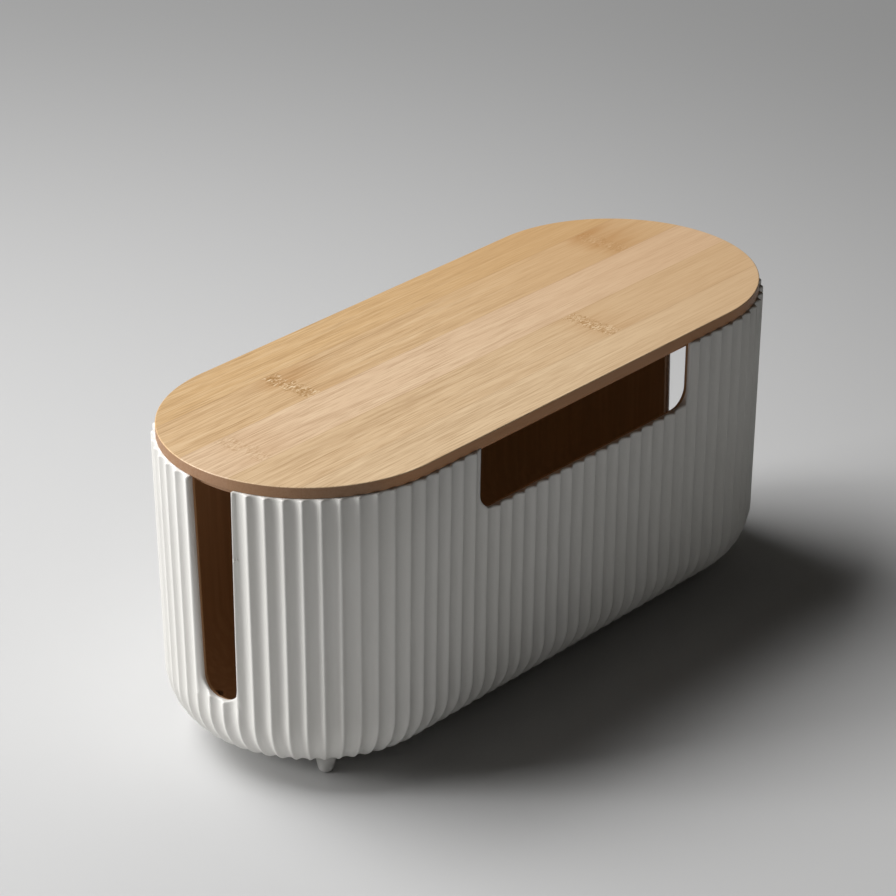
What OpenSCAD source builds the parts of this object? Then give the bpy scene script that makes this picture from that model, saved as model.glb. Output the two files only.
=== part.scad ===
// Cable management box: a fluted white shell with a brown inner tub, four peg feet
// and a lift-off bamboo lid. Millimetres, +Z up, origin under the centre of the box
// on the surface that the feet stand on. The long side runs along X, the front is -Y.

/* [Lid] */
// Length of the lid board, end to end
lid_length = 328; // [290:2:380]
// Width of the lid board, which is also the diameter of its round ends
lid_width = 130; // [116:1:150]
// Thickness of the lid board
lid_thickness = 5.2; // [4:0.2:8]
// Small bevel round the top and bottom edges of the lid board
lid_edge_bevel = 0.5; // [0.2:0.1:1.2]
// Thickness of the plate under the lid that keeps it in place
plate_thickness = 3.2; // [2:0.2:6]
// Play between the locating plate and the inside of the tub
plate_clearance = 0.4; // [0.3:0.1:1]

/* [Shell] */
// Height of the shell from its underside to its rim
shell_height = 133; // [110:1:160]
// How far the flute crests stand out past the edge of the lid
crest_overhang = 2; // [1:0.1:4]
// Slope of the walls, which draw in towards the base
wall_taper = 1.16; // [0.3:0.02:2]
// Radius between the walls and the underside
base_radius = 27.4; // [20:0.2:34]
// Wall thickness of the shell at the bottom of a flute
shell_wall = 1.5; // [1.2:0.1:3]
// Thickness of the shell's base
base_thickness = 3.2; // [3:0.1:5]

/* [Flutes] */
// Spacing of the flutes round the rim, rounded to fit a whole number of them
flute_pitch = 7.78; // [6:0.1:12]
// Depth of each flute
flute_depth = 1.7; // [1:0.1:2.2]
// Width of the land left between two flutes at the rim
crest_land = 0.7; // [0.5:0.1:1.5]

/* [Cable slots] */
// Length of the wide slot in the front
front_slot_length = 138.4; // [80:0.2:170]
// Depth of the front slot below the rim
front_slot_depth = 29.6; // [15:0.2:45]
// Radius of the front slot's lower corners
front_slot_radius = 8; // [3:0.5:14]
// Offset of the front slot from the middle of the box, towards the far end
front_slot_offset = 2.2; // [-10:0.2:10]
// Width of each end slot at the rim
end_slot_top_width = 22.6; // [22:0.2:30]
// Slope of each side of the end slots, which narrow towards their feet
end_slot_lean = 0.94; // [0:0.02:2]
// Depth of the end slots below the rim
end_slot_depth = 100.2; // [60:0.2:102]
// Radius of the end slots' lower corners
end_slot_radius = 8.6; // [3:0.2:9]
// Offset of the near end's slot from the centre line
near_slot_offset = -4.6; // [-10:0.2:10]
// Offset of the far end's slot from the centre line
far_slot_offset = 4.6; // [-10:0.2:10]

/* [Inner tub] */
// Wall thickness of the tub
tub_wall = 1.6; // [1.2:0.1:3]
// Thickness of the tub's floor
tub_floor = 1.8; // [1.6:0.1:4]
// Gap between the tub and the shell's walls
tub_gap = 0.3; // [0.2:0.05:1]
// How far the tub's rim lies below the shell's rim
tub_rim_drop = 0.4; // [0.2:0.1:2]
// How far the tub's slots are cut back behind the shell's slots
tub_slot_setback = 0.8; // [0:0.1:2]

/* [Feet and screws] */
// Height of the feet below the shell
foot_height = 6; // [4:0.5:12]
// Diameter of a foot where it meets the shell
foot_diameter = 8.6; // [8:0.2:11]
// Diameter of a foot above its round tip
foot_tip_diameter = 6; // [4.5:0.1:7]
// Radius of the tip's rounding
foot_tip_radius = 1.8; // [0.8:0.1:2.1]
// Depth of the socket that each foot seats in
foot_socket_depth = 2.2; // [2:0.1:2.4]
// Radial clearance of a foot in its socket
foot_clearance = 0.1; // [0.05:0.05:0.4]
// How far outside the flat of the base the feet stand
foot_outset = 5.7; // [-8:0.1:6]
// Direction of each foot from the centre of its round end, from the long axis
foot_angle = 47.8; // [30:0.2:60]
// Shank diameter of the screws that hold the feet
screw_diameter = 2.9; // [2.2:0.1:3.5]
// Head diameter of the screws
screw_head_diameter = 5.4; // [4.6:0.1:6]
// Height of the countersunk head
screw_head_height = 1.4; // [1:0.1:1.7]
// Length of the screws with their heads
screw_length = 9.5; // [8:0.5:11]
// Diameter of the screws' blunt tips
screw_tip_diameter = 0.7; // [0.4:0.1:1.2]
// Length of each arm of the cross recess in a screw's head, end to end
screw_recess_length = 3.2; // [2.4:0.1:3.6]
// Width of the recess's arms
screw_recess_width = 0.9; // [0.6:0.1:1.2]
// Depth of the recess
screw_recess_depth = 0.8; // [0.5:0.1:1]
// Radial clearance of the screws in the tub, the shell and the feet
screw_clearance = 0.1; // [0.05:0.05:0.4]
// Height of the pads that the screw heads sink into, above the tub's floor
screw_pad_height = 1.8; // [1.5:0.1:3]
// Width of a pad's land round a screw head
screw_pad_land = 1.3; // [0.8:0.1:3]

/* [Hidden] */

$fn = 96;
cut_margin = 1;

// Plan: a stadium, whose two round ends are centred at X = -end_centre and +end_centre.
end_centre = (lid_length - lid_width) / 2;
lid_radius = lid_width / 2;
crest_radius = lid_radius + crest_overhang;

// Heights
shell_bottom = foot_height;
rim_z = shell_bottom + shell_height;
tub_bottom = shell_bottom + base_thickness;
tub_floor_top = tub_bottom + tub_floor;
tub_rim_z = rim_z - tub_rim_drop;
lid_top = rim_z + lid_thickness;

// Radii at the rim, going inwards, and the inner corner radii that go with them
crest_to_cavity = flute_depth + shell_wall;
cavity_radius = crest_radius - crest_to_cavity;
tub_radius = cavity_radius - tub_gap;
tub_inner_radius = tub_radius - tub_wall;
plate_radius = tub_inner_radius - plate_clearance;
cavity_corner = base_radius - crest_to_cavity;
tub_corner = cavity_corner - tub_gap;
tub_inner_corner = tub_corner - tub_wall;

// Flutes: an odd number, so that a crest lies on the centre line of the near end
rim_quarter = crest_radius * PI / 2;
rim_perimeter = 4 * rim_quarter + 4 * end_centre;
flute_count = 2 * round((rim_perimeter / flute_pitch - 1) / 2) + 1;
flute_step = rim_perimeter / flute_count;
flute_half_chord = (flute_step - crest_land) / 2;
flute_radius = (flute_half_chord ^ 2 + flute_depth ^ 2) / (2 * flute_depth);
// Distance of a flute's axis from the centre of the base corner's arc
flute_reach = base_radius + flute_radius - flute_depth;
// Depth below that centre at which a flute has run out on the base corner
flute_runout = sqrt(base_radius ^ 2 - (base_radius - flute_depth) ^ 2);
// Sides of the prism that cuts a flute, which give it three narrow faces
flute_sides = 12;

// Radius of the flat part of the shell's underside, from an end's centre
flat_radius = corner_centre(crest_radius, shell_height, base_radius, wall_taper);

// Feet and screws
foot_circle = flat_radius + foot_outset;
foot_x = end_centre + foot_circle * cos(foot_angle);
foot_y = foot_circle * sin(foot_angle);
foot_top = shell_bottom + foot_socket_depth;
foot_bore = screw_diameter + 2 * screw_clearance;
screw_top = tub_floor_top + screw_pad_height;
screw_tip = screw_top - screw_length;
screw_tip_cone = (screw_diameter - screw_tip_diameter) / 2;
screw_pad_diameter = screw_head_diameter + 2 * screw_pad_land;

// Distance from the axis to the centre of the corner arc under a side that
// stands height tall, leans by lean and is rim_half from the axis at its top.
function corner_centre(rim_half, height, corner, lean) =
    rim_half - (corner + (height - corner) * sin(lean)) / cos(lean);

// Heading of the outward normal, s along the rim from the near end's centre line.
function rim_heading(s) =
    s < rim_quarter ? 180 + s / crest_radius * 180 / PI
    : s < rim_quarter + 2 * end_centre ? 270
    : s < 3 * rim_quarter + 2 * end_centre
        ? 270 + (s - rim_quarter - 2 * end_centre) / crest_radius * 180 / PI
    : s < 3 * rim_quarter + 4 * end_centre ? 90
    : 90 + (s - 3 * rim_quarter - 4 * end_centre) / crest_radius * 180 / PI;

// X of the point on the centre line that faces the rim at s.
function rim_base_x(s) =
    s < rim_quarter ? -end_centre
    : s < rim_quarter + 2 * end_centre ? s - rim_quarter - end_centre
    : s < 3 * rim_quarter + 2 * end_centre ? end_centre
    : s < 3 * rim_quarter + 4 * end_centre ? 3 * rim_quarter + 3 * end_centre - s
    : -end_centre;

// A stadium-shaped solid from a 2D half profile: X is the distance from the
// centre line, Y is the height.
module stadium_solid() {
    for (end = [-1, 1])
        translate([end * end_centre, 0, 0])
            rotate([0, 0, end * -90])
                rotate_extrude(angle = 180)
                    children();
    rotate([90, 0, 90])
        linear_extrude(2 * end_centre, center = true)
            union() {
                children();
                mirror([1, 0]) children();
            }
}

// Half profile of a cup: a side that leans by lean and is rim_half from the axis
// at the height rim_z, with an arc between it and the flat bottom.
module cup_profile(rim_half, bottom, top, corner, lean) {
    centre = corner_centre(rim_half, rim_z - bottom, corner, lean);
    polygon([
        [0, bottom],
        [centre, bottom],
        [centre + corner * cos(lean), bottom + corner * (1 - sin(lean))],
        [rim_half + (top - rim_z) * tan(lean), top],
        [0, top],
    ]);
    translate([centre, bottom + corner]) circle(corner);
}

// Half profile of a flat board with a small bevel on its lower and upper edges.
module board_profile(radius, bottom, top, low_bevel, top_bevel) {
    polygon([
        [0, bottom],
        [radius - low_bevel, bottom],
        [radius, bottom + low_bevel],
        [radius, top - top_bevel],
        [radius - top_bevel, top],
        [0, top],
    ]);
}

// One flute at its place on the rim: a cut up the leaning wall that runs out on
// the base corner. s is its place along the rim.
module flute_cut(s) {
    translate([rim_base_x(s), 0, shell_bottom + base_radius])
        rotate([0, 0, rim_heading(s)])
            translate([flat_radius, 0, 0])
                rotate([0, wall_taper, 0])
                    translate([flute_reach, 0, -flute_runout - cut_margin])
                        cylinder(h = shell_height, r = flute_radius, $fn = flute_sides);
}

// The outline of a slot that is open at the rim. grow widens it all round.
module slot_profile(width, depth, corner, lean, grow) {
    for (side = [0, 1])
        mirror([side, 0])
            cup_profile(
                width / 2 + grow,
                rim_z - depth - grow,
                lid_top,
                corner + grow,
                lean
            );
}

// The wide slot's outline, in X and height.
module front_slot_profile(grow) {
    slot_profile(front_slot_length, front_slot_depth, front_slot_radius, 0, grow);
}

// An end slot's outline, in Y and height.
module end_slot_profile(grow) {
    slot_profile(end_slot_top_width, end_slot_depth, end_slot_radius, end_slot_lean, grow);
}

// All three slots as one cut through the walls. Each starts outside the crests
// and ends half way between them and the centre line.
module slot_cuts(grow) {
    outside = crest_radius + cut_margin;
    reach = outside - crest_radius / 2;
    translate([front_slot_offset, reach - outside, 0])
        rotate([90, 0, 0])
            linear_extrude(reach) front_slot_profile(grow);
    translate([-end_centre - outside, near_slot_offset, 0])
        rotate([90, 0, 90])
            linear_extrude(reach) end_slot_profile(grow);
    translate([end_centre + outside, far_slot_offset, 0])
        rotate([90, 0, -90])
            linear_extrude(reach) end_slot_profile(grow);
}

// Places its children at one foot: end is -1 near and 1 far, side is -1 front and 1 rear.
module at_foot(end, side) {
    translate([end * foot_x, side * foot_y, 0]) children();
}

// Places its children at all four feet.
module at_feet() {
    for (end = [-1, 1], side = [-1, 1])
        at_foot(end, side) children();
}

// The white outer shell, with its flutes, slots, foot sockets and screw holes.
module fluted_shell() {
    color("whitesmoke")
        difference() {
            stadium_solid()
                cup_profile(crest_radius, shell_bottom, rim_z, base_radius, wall_taper);
            for (k = [0:flute_count - 1]) flute_cut((k + 0.5) * flute_step);
            stadium_solid()
                cup_profile(
                    cavity_radius,
                    tub_bottom,
                    rim_z + cut_margin,
                    cavity_corner,
                    wall_taper
                );
            slot_cuts(0);
            at_feet() {
                translate([0, 0, shell_bottom - cut_margin])
                    cylinder(
                        h = foot_socket_depth + cut_margin,
                        d = foot_diameter + 2 * foot_clearance
                    );
                translate([0, 0, shell_bottom])
                    cylinder(h = screw_top - shell_bottom, d = foot_bore);
            }
        }
}

// The hollow of the tub, with a pad left standing for each screw head.
module tub_hollow() {
    difference() {
        stadium_solid()
            cup_profile(
                tub_inner_radius,
                tub_floor_top,
                rim_z + cut_margin,
                tub_inner_corner,
                wall_taper
            );
        at_feet()
            translate([0, 0, tub_bottom])
                cylinder(h = screw_top - tub_bottom, d = screw_pad_diameter);
    }
}

// The brown tub inside the shell.
module inner_tub() {
    color("#4a3020")
        difference() {
            stadium_solid()
                cup_profile(tub_radius, tub_bottom, tub_rim_z, tub_corner, wall_taper);
            tub_hollow();
            slot_cuts(tub_slot_setback);
            at_feet() {
                translate([0, 0, tub_bottom - cut_margin])
                    cylinder(h = screw_top - tub_bottom, d = foot_bore);
                translate([0, 0, screw_top - screw_head_height])
                    screw_head_form(screw_clearance);
            }
        }
}

// The bamboo lid board.
module lid_board() {
    color("burlywood")
        stadium_solid()
            board_profile(lid_radius, rim_z, lid_top, lid_edge_bevel, lid_edge_bevel);
}

// The plate glued under the lid board, which drops into the mouth of the tub.
module lid_locating_plate() {
    color("tan")
        stadium_solid()
            board_profile(plate_radius, rim_z - plate_thickness, rim_z, lid_edge_bevel, 0);
}

// One peg foot: a round tip, a taper and a stub that seats in the shell's socket.
module foot(end, side) {
    tip = foot_tip_diameter / 2;
    color("gainsboro")
        at_foot(end, side)
            difference() {
                rotate_extrude()
                    intersection() {
                        union() {
                            polygon([
                                [0, 0],
                                [tip - foot_tip_radius, 0],
                                [tip, foot_tip_radius],
                                [foot_diameter / 2, shell_bottom],
                                [foot_diameter / 2, foot_top],
                                [0, foot_top],
                            ]);
                            translate([tip - foot_tip_radius, foot_tip_radius])
                                circle(foot_tip_radius);
                        }
                        square([foot_diameter, foot_top]);
                    }
                translate([0, 0, screw_tip - screw_clearance])
                    cylinder(h = foot_top, d = foot_bore);
            }
}

// The countersunk head of a screw, from its neck up, grown by grow all round.
module screw_head_form(grow) {
    cylinder(
        h = screw_head_height,
        d1 = screw_diameter + 2 * grow,
        d2 = screw_head_diameter + 2 * grow
    );
}

// The four screws that hold the tub, the shell and the feet together.
module foot_screws() {
    shank = screw_length - screw_head_height - screw_tip_cone;
    color("silver")
        at_feet()
            translate([0, 0, screw_tip])
                difference() {
                    union() {
                        cylinder(
                            h = screw_tip_cone,
                            d1 = screw_tip_diameter,
                            d2 = screw_diameter
                        );
                        translate([0, 0, screw_tip_cone])
                            cylinder(h = shank, d = screw_diameter);
                        translate([0, 0, screw_tip_cone + shank])
                            screw_head_form(0);
                    }
                    for (turn = [0, 90])
                        translate([0, 0, screw_length])
                            rotate([0, 0, turn])
                                cube([
                                    screw_recess_length,
                                    screw_recess_width,
                                    2 * screw_recess_depth
                                ], center = true);
                }
}

fluted_shell();
inner_tub();
lid_board();
lid_locating_plate();
foot(-1, -1);  // foot_front_near
foot(1, -1);  // foot_front_far
foot(-1, 1);  // foot_rear_near
foot(1, 1);  // foot_rear_far
foot_screws();
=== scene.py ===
"""Looks of a cable management box.

A fluted white shell with a brown inner tub stands on four peg feet and carries a
bamboo lid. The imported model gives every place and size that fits; the pieces here
take them from it and add what only shows: soft edges, flutes that run round the base
corner, wood grain and moulded finishes. All lengths are in metres.
"""

import logging
import math
from dataclasses import dataclass, field
from enum import Enum
from typing import Callable, Iterable, Sequence

import bmesh
import bpy
from bmesh.types import BMEdge, BMesh, BMFace, BMVert
from bpy.types import Material, Node, NodeSocket, NodeTree, Object
from mathutils import Matrix, Vector


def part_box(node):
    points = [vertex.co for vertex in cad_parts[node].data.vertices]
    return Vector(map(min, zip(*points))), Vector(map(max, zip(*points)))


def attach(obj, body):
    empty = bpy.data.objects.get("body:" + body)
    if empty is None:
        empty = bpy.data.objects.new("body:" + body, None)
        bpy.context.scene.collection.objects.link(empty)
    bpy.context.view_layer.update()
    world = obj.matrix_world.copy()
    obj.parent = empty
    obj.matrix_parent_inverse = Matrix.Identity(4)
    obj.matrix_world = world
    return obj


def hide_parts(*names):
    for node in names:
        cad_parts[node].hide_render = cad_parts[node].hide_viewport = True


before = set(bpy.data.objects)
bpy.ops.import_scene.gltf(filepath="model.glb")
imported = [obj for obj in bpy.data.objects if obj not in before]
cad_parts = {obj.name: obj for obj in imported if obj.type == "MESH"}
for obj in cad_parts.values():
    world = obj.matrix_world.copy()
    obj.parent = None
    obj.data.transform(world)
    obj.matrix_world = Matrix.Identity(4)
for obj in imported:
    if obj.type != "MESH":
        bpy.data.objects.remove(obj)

log = logging.getLogger("cable_box")
MM = 0.001
TOUCHING = MM / 100
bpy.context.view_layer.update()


# --------------------------------------------------------------------------- shape


@dataclass(frozen=True)
class Plan:
    """The box from above: a straight middle with a round end on each side.

    Places on it are given by how far along the rim they lie, counted from the near
    end's centre line past the front, the far end and the rear.
    """

    half_straight: float
    radius: float

    @property
    def quarter(self) -> float:
        """Length of a quarter turn of the rim."""
        return self.radius * math.pi / 2

    @property
    def perimeter(self) -> float:
        """Length of the whole rim."""
        return 4 * (self.quarter + self.half_straight)

    def place(self, along: float, out: float, height: float) -> Vector:
        """Finds the point that faces a place on the rim.

        Args:
            along: the place on the rim.
            out: distance from the spine between the centres of the round ends.
            height: height above the surface that the box stands on.

        Returns:
            The point in the row frame.
        """
        half, quarter = self.half_straight, self.quarter
        if along < quarter:
            spine, heading = -half, math.pi + along / self.radius
        elif along < quarter + 2 * half:
            spine, heading = along - quarter - half, 1.5 * math.pi
        elif along < 3 * quarter + 2 * half:
            spine = half
            heading = 1.5 * math.pi + (along - quarter - 2 * half) / self.radius
        elif along < 3 * quarter + 4 * half:
            spine, heading = 3 * quarter + 3 * half - along, math.pi / 2
        else:
            spine = -half
            heading = math.pi / 2 + (along - 3 * quarter - 4 * half) / self.radius
        return Vector((spine + out * math.cos(heading), out * math.sin(heading), height))

    def along(self, point: Vector) -> float:
        """Finds how far along the rim a point lies.

        Args:
            point: a point in the row frame, off the spine.

        Returns:
            The distance along the rim.
        """
        half, quarter = self.half_straight, self.quarter
        if abs(point.x) <= half:
            if point.y < 0:
                return quarter + half + point.x
            return 3 * quarter + 3 * half - point.x
        if point.x > half:
            heading = math.atan2(point.y, point.x - half)
            return self.perimeter / 2 + self.radius * heading
        heading = math.atan2(point.y, -point.x - half)
        return (-self.radius * heading) % self.perimeter


@dataclass(frozen=True)
class Flutes:
    """Upright grooves round a wall: wide round valleys between narrow soft crests."""

    count: int
    pitch: float
    depth: float
    crest_round: float
    valley_steps: int = 8
    crest_steps: int = 3

    @property
    def turn(self) -> float:
        """Angle through which the wall turns from a crest to a valley's side."""
        return 2 * math.atan(2 * self.depth / self.pitch)

    @property
    def valley_round(self) -> float:
        """Radius of a valley."""
        return self.pitch / 2 / math.sin(self.turn) - self.crest_round

    def depth_at(self, along: float) -> float:
        """Depth of the wall below the crests at a place on the rim.

        Args:
            along: the place on the rim.

        Returns:
            The depth.
        """
        from_crest = along % self.pitch
        from_crest = min(from_crest, self.pitch - from_crest)
        if from_crest < self.crest_round * math.sin(self.turn):
            return self.crest_round - math.sqrt(self.crest_round**2 - from_crest**2)
        from_valley = self.pitch / 2 - from_crest
        rise = self.valley_round - math.sqrt(self.valley_round**2 - from_valley**2)
        return self.depth - rise

    def draw(self, bm: BMesh) -> None:
        """Draws the outline of all flutes along X, with their depth in -Z.

        Args:
            bm: an empty bmesh that takes the outline.
        """
        upright = Vector((0, 1, 0))
        arcs = (
            (0.0, -self.crest_round, self.turn, self.crest_steps),
            (self.pitch / 2, self.valley_round - self.depth, -2 * self.turn, self.valley_steps),
            (self.pitch, -self.crest_round, self.turn, self.crest_steps),
        )
        last = bm.verts.new((0, 0, 0))
        for across, level, angle, steps in arcs:
            spun = bmesh.ops.spin(
                bm, geom=[last], cent=(across, 0, level), axis=upright,
                angle=angle, steps=steps, use_duplicate=False,
            )
            last = next(g for g in spun["geom_last"] if isinstance(g, BMVert))
        period = bm.verts[:] + bm.edges[:]
        for copy in range(1, self.count):
            made = bmesh.ops.duplicate(bm, geom=period)["geom"]
            moved = [g for g in made if isinstance(g, BMVert)]
            bmesh.ops.translate(bm, verts=moved, vec=(copy * self.pitch, 0, 0))
        bmesh.ops.remove_doubles(bm, verts=bm.verts, dist=TOUCHING)


@dataclass(frozen=True)
class PlainWall:
    """A wall without flutes, divided into equal columns."""

    count: int
    pitch: float

    def depth_at(self, along: float) -> float:
        """Depth of the wall, which is nothing anywhere."""
        return 0.0

    def draw(self, bm: BMesh) -> None:
        """Draws a straight line of columns along X.

        Args:
            bm: an empty bmesh that takes the line.
        """
        edges: list[BMEdge] = []
        last = bm.verts.new((0, 0, 0))
        for _ in range(self.count):
            made = bmesh.ops.extrude_vert_indiv(bm, verts=[last])
            last = made["verts"][0]
            edges += made["edges"]
            bmesh.ops.translate(bm, verts=[last], vec=(self.pitch, 0, 0))


@dataclass(frozen=True)
class Station:
    """One level of a cup's side: a row of its vertices.

    Attributes:
        out: distance from the spine at no depth.
        height: height at no depth.
        tilt: direction of the depth, 0 level and a quarter turn straight up.
        relief: share of the flutes' depth that is left here.
    """

    out: float
    height: float
    tilt: float
    relief: float

    def at(self, depth: float) -> tuple[float, float]:
        """Distance from the spine and height at a depth."""
        return (
            self.out - depth * math.cos(self.tilt),
            self.height + depth * math.sin(self.tilt),
        )


@dataclass(frozen=True)
class CupForm:
    """A leaning side that turns round a base corner into a flat underside."""

    plan: Plan
    rim: float
    bottom: float
    corner: float
    lean: float

    @property
    def corner_out(self) -> float:
        """Distance from the spine to the centre of the corner's arc.

        Returns:
            The distance.
        """
        drop = self.rim - self.bottom - self.corner
        spread = self.corner + drop * math.sin(self.lean)
        return self.plan.radius - spread / math.cos(self.lean)

    @property
    def wall_foot(self) -> float:
        """Height at which the straight side ends."""
        return self.bottom + self.corner * (1 - math.sin(self.lean))

    def out_at(self, height: float) -> float:
        """Distance of the straight side from the spine at a height."""
        return self.plan.radius - (self.rim - height) * math.tan(self.lean)

    def stations(self, heights: Iterable[float], arc_steps: int) -> list[Station]:
        """Lists the rows of a side from its top to the flat underside.

        Args:
            heights: heights of the rows on the straight side.
            arc_steps: rows round the base corner.

        Returns:
            The stations, top first.
        """
        rows = [Station(self.out_at(h), h, 0, 1) for h in heights]
        centre = self.bottom + self.corner
        for step in range(arc_steps + 1):
            share = step / arc_steps
            angle = self.lean + share * (math.pi / 2 - self.lean)
            out = self.corner_out + self.corner * math.cos(angle)
            height = centre - self.corner * math.sin(angle)
            rows.append(Station(out, height, share * math.pi / 2, math.cos(angle)))
        return rows


class Side(Enum):
    """The sides of the box that have a cable slot."""

    FRONT = "front"
    NEAR = "near"
    FAR = "far"


@dataclass(frozen=True)
class Slot:
    """A cable slot that is open at the rim and has round lower corners.

    Its outline lies in the plane of its side: the first coordinate is X on the front
    and Y on the ends, the second is the height.
    """

    side: Side
    centre: float
    half_width: float
    foot: float
    corner: float
    lean: float
    rim: float

    def grown(self, by: float) -> "Slot":
        """The same slot with its outline moved out all round."""
        return Slot(
            self.side, self.centre, self.half_width + by, self.foot - by,
            self.corner + by, self.lean, self.rim,
        )

    def flat(self, point: Vector) -> Vector:
        """A point's coordinates in the plane of the side."""
        return Vector((point.x if self.side is Side.FRONT else point.y, point.z))

    def faces(self, point: Vector, form: CupForm) -> bool:
        """Whether a point lies on this side of the box.

        Args:
            point: a point in the row frame.
            form: the form of the cup.

        Returns:
            True if it does.
        """
        middle = form.plan.radius / 2
        if self.side is Side.FRONT:
            return point.y < -middle and abs(point.x) < form.plan.half_straight
        away = form.plan.half_straight + middle
        return point.x < -away if self.side is Side.NEAR else point.x > away

    def nearest(self, flat: Vector) -> tuple[Vector, Vector]:
        """Finds the outline's nearest point.

        Args:
            flat: a point in the plane of the side, outside the slot.

        Returns:
            The nearest point on the outline, and the direction from there into
            the slot.
        """
        across = flat.x - self.centre
        hand = math.copysign(1, across)
        arc_height = self.foot + self.corner
        arc_out = self.half_width - self.corner
        arc_out -= (self.rim - arc_height) * math.tan(self.lean)
        if flat.y >= arc_height:
            out = self.half_width - (self.rim - flat.y) * math.tan(self.lean)
            return Vector((self.centre + hand * out, flat.y)), Vector((-hand, 0))
        if abs(across) <= arc_out:
            return Vector((flat.x, self.foot)), Vector((0, 1))
        arc_centre = Vector((self.centre + hand * arc_out, arc_height))
        away = (flat - arc_centre).normalized()
        return arc_centre + away * self.corner, -away

    def along(self, across: float, out: float, plan: Plan) -> float:
        """Place on the rim that faces a point of the side.

        Args:
            across: the point's first coordinate in the plane of the side.
            out: its distance from the spine.
            plan: the box's plan.

        Returns:
            The distance along the rim.
        """
        if self.side is Side.FRONT:
            return plan.quarter + plan.half_straight + across
        turned = plan.radius * math.asin(max(-1.0, min(1.0, across / out)))
        if self.side is Side.NEAR:
            return (-turned) % plan.perimeter
        return plan.perimeter / 2 + turned


@dataclass
class EdgePoint:
    """Where a vertex on an open edge of a wall is going.

    Attributes:
        slot: the slot that the edge belongs to, or None on the rim.
        start: where the vertex comes from, in the plane of its side.
        target: the nearest point of the finished edge in that plane. On the rim
            the first coordinate is the place along it.
        inward: direction from the wall into the opening.
    """

    slot: Slot | None
    start: Vector
    target: Vector
    inward: Vector


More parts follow.
